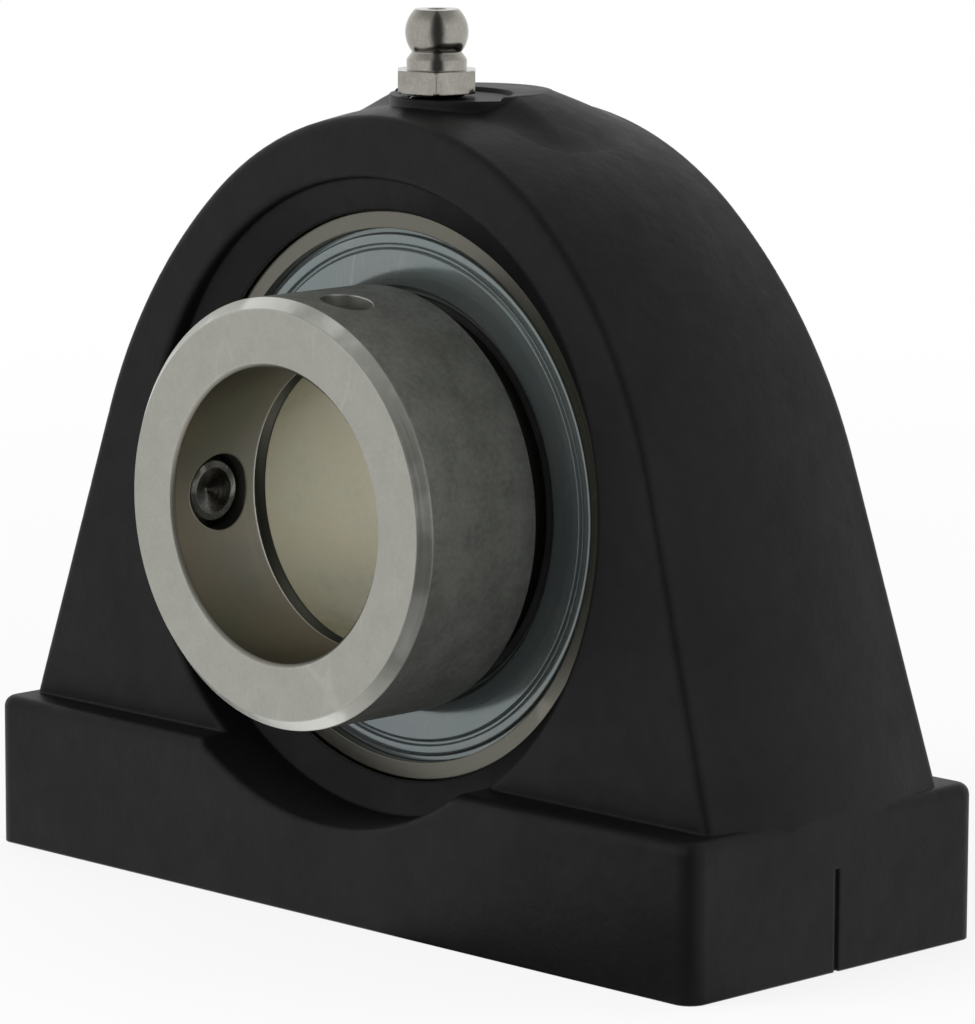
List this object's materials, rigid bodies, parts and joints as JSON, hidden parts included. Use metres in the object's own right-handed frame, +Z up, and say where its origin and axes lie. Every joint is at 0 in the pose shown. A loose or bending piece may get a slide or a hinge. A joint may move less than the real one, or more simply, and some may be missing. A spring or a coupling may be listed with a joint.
{
  "type": "pillow block bearing",
  "caption": "Tapped-base pillow block: black cast housing, self-aligning ball bearing insert with eccentric locking collar, and grease nipple.",
  "frame": {"origin": "underside of the base, straight below the middle of the bearing", "axes": "+X along the base, +Y along the shaft away from the locking collar, +Z up"},
  "size_m": [0.1034, 0.0494, 0.0928],
  "materials": {
    "black_cast_iron": "satin black paint over cast iron",
    "bearing_steel": "ground, oiled",
    "polished_ball_steel": "polished",
    "pressed_cage_steel": "pressed sheet",
    "zinc_plated_steel": "blue-grey zinc plating",
    "nitrile_rubber": "matte",
    "collar_steel": "turned face, rough dark rim",
    "black_oxide_steel": "black oxide",
    "nickel_plated_steel": "shiny plating",
    "spring_steel": "drawn wire"
  },
  "bodies": {
    "housing": {"housing": "black_cast_iron", "grease_nipple": "nickel_plated_steel", "nipple_spring": "spring_steel"},
    "insert": {"outer_ring": "bearing_steel", "front_seal_outer_washer": "zinc_plated_steel", "front_seal_rubber_lip": "nitrile_rubber", "front_seal_inner_washer": "zinc_plated_steel", "rear_seal_outer_washer": "zinc_plated_steel", "rear_seal_rubber_lip": "nitrile_rubber", "rear_seal_inner_washer": "zinc_plated_steel"},
    "inner_ring": {"inner_ring": "bearing_steel"},
    "cage": {"cage_front": "pressed_cage_steel", "cage_rear": "pressed_cage_steel", "cage_rivets": "pressed_cage_steel"},
    "ball_1": {"ball_1": "polished_ball_steel"},
    "ball_2": {"ball_2": "polished_ball_steel"},
    "ball_3": {"ball_3": "polished_ball_steel"},
    "ball_4": {"ball_4": "polished_ball_steel"},
    "ball_5": {"ball_5": "polished_ball_steel"},
    "ball_6": {"ball_6": "polished_ball_steel"},
    "ball_7": {"ball_7": "polished_ball_steel"},
    "ball_8": {"ball_8": "polished_ball_steel"},
    "ball_9": {"ball_9": "polished_ball_steel"},
    "collar": {"locking_collar": "collar_steel"},
    "set_screw": {"collar_set_screw": "black_oxide_steel"},
    "check_ball": {"nipple_check_ball": "polished_ball_steel"}
  },
  "joints": [
    {"name": "insert_align", "type": "hinge", "parent": "housing", "child": "insert", "pos_m": [0, 0, 0.0429], "axis": [1, 0, 0], "range_deg": [-5, 5]},
    {"name": "shaft_spin", "type": "hinge", "parent": "insert", "child": "inner_ring", "pos_m": [0, 0, 0.0429], "axis": [0, 1, 0], "continuous": true},
    {"name": "cage_spin", "type": "hinge", "parent": "insert", "child": "cage", "pos_m": [0, 0, 0.0429], "axis": [0, 1, 0], "continuous": true},
    {"name": "ball_1_spin", "type": "hinge", "parent": "cage", "child": "ball_1", "pos_m": [0.023, 0, 0.0429], "axis": [0, 1, 0], "continuous": true},
    {"name": "ball_2_spin", "type": "hinge", "parent": "cage", "child": "ball_2", "pos_m": [0.01762, 0, 0.05768], "axis": [0, 1, 0], "continuous": true},
    {"name": "ball_3_spin", "type": "hinge", "parent": "cage", "child": "ball_3", "pos_m": [0.00399, 0, 0.06555], "axis": [0, 1, 0], "continuous": true},
    {"name": "ball_4_spin", "type": "hinge", "parent": "cage", "child": "ball_4", "pos_m": [-0.0115, 0, 0.06282], "axis": [0, 1, 0], "continuous": true},
    {"name": "ball_5_spin", "type": "hinge", "parent": "cage", "child": "ball_5", "pos_m": [-0.02161, 0, 0.05077], "axis": [0, 1, 0], "continuous": true},
    {"name": "ball_6_spin", "type": "hinge", "parent": "cage", "child": "ball_6", "pos_m": [-0.02161, 0, 0.03503], "axis": [0, 1, 0], "continuous": true},
    {"name": "ball_7_spin", "type": "hinge", "parent": "cage", "child": "ball_7", "pos_m": [-0.0115, 0, 0.02298], "axis": [0, 1, 0], "continuous": true},
    {"name": "ball_8_spin", "type": "hinge", "parent": "cage", "child": "ball_8", "pos_m": [0.00399, 0, 0.02025], "axis": [0, 1, 0], "continuous": true},
    {"name": "ball_9_spin", "type": "hinge", "parent": "cage", "child": "ball_9", "pos_m": [0.01762, 0, 0.02812], "axis": [0, 1, 0], "continuous": true},
    {"name": "collar_lock", "type": "hinge", "parent": "inner_ring", "child": "collar", "pos_m": [0, 0, 0.0429], "axis": [0, 1, 0], "range_deg": [-25, 25]},
    {"name": "set_screw_travel", "type": "slide", "parent": "collar", "child": "set_screw", "axis": [1, 0, 0], "range_m": [-0.004, 0.0007]},
    {"name": "check_ball_press", "type": "slide", "parent": "housing", "child": "check_ball", "axis": [0, 0, -1], "range_m": [0, 0.0008], "stiffness_N_per_m": 300, "springref_m": -0.001, "deforming": ["nipple_spring"]}
  ],
  "couplings": [
    {"joint": "cage_spin", "follows": "shaft_spin", "ratio": 0.39647},
    {"joint": "ball_1_spin", "follows": "shaft_spin", "ratio": -2.3112},
    {"joint": "ball_2_spin", "follows": "shaft_spin", "ratio": -2.3112},
    {"joint": "ball_3_spin", "follows": "shaft_spin", "ratio": -2.3112},
    {"joint": "ball_4_spin", "follows": "shaft_spin", "ratio": -2.3112},
    {"joint": "ball_5_spin", "follows": "shaft_spin", "ratio": -2.3112},
    {"joint": "ball_6_spin", "follows": "shaft_spin", "ratio": -2.3112},
    {"joint": "ball_7_spin", "follows": "shaft_spin", "ratio": -2.3112},
    {"joint": "ball_8_spin", "follows": "shaft_spin", "ratio": -2.3112},
    {"joint": "ball_9_spin", "follows": "shaft_spin", "ratio": -2.3112}
  ]
}
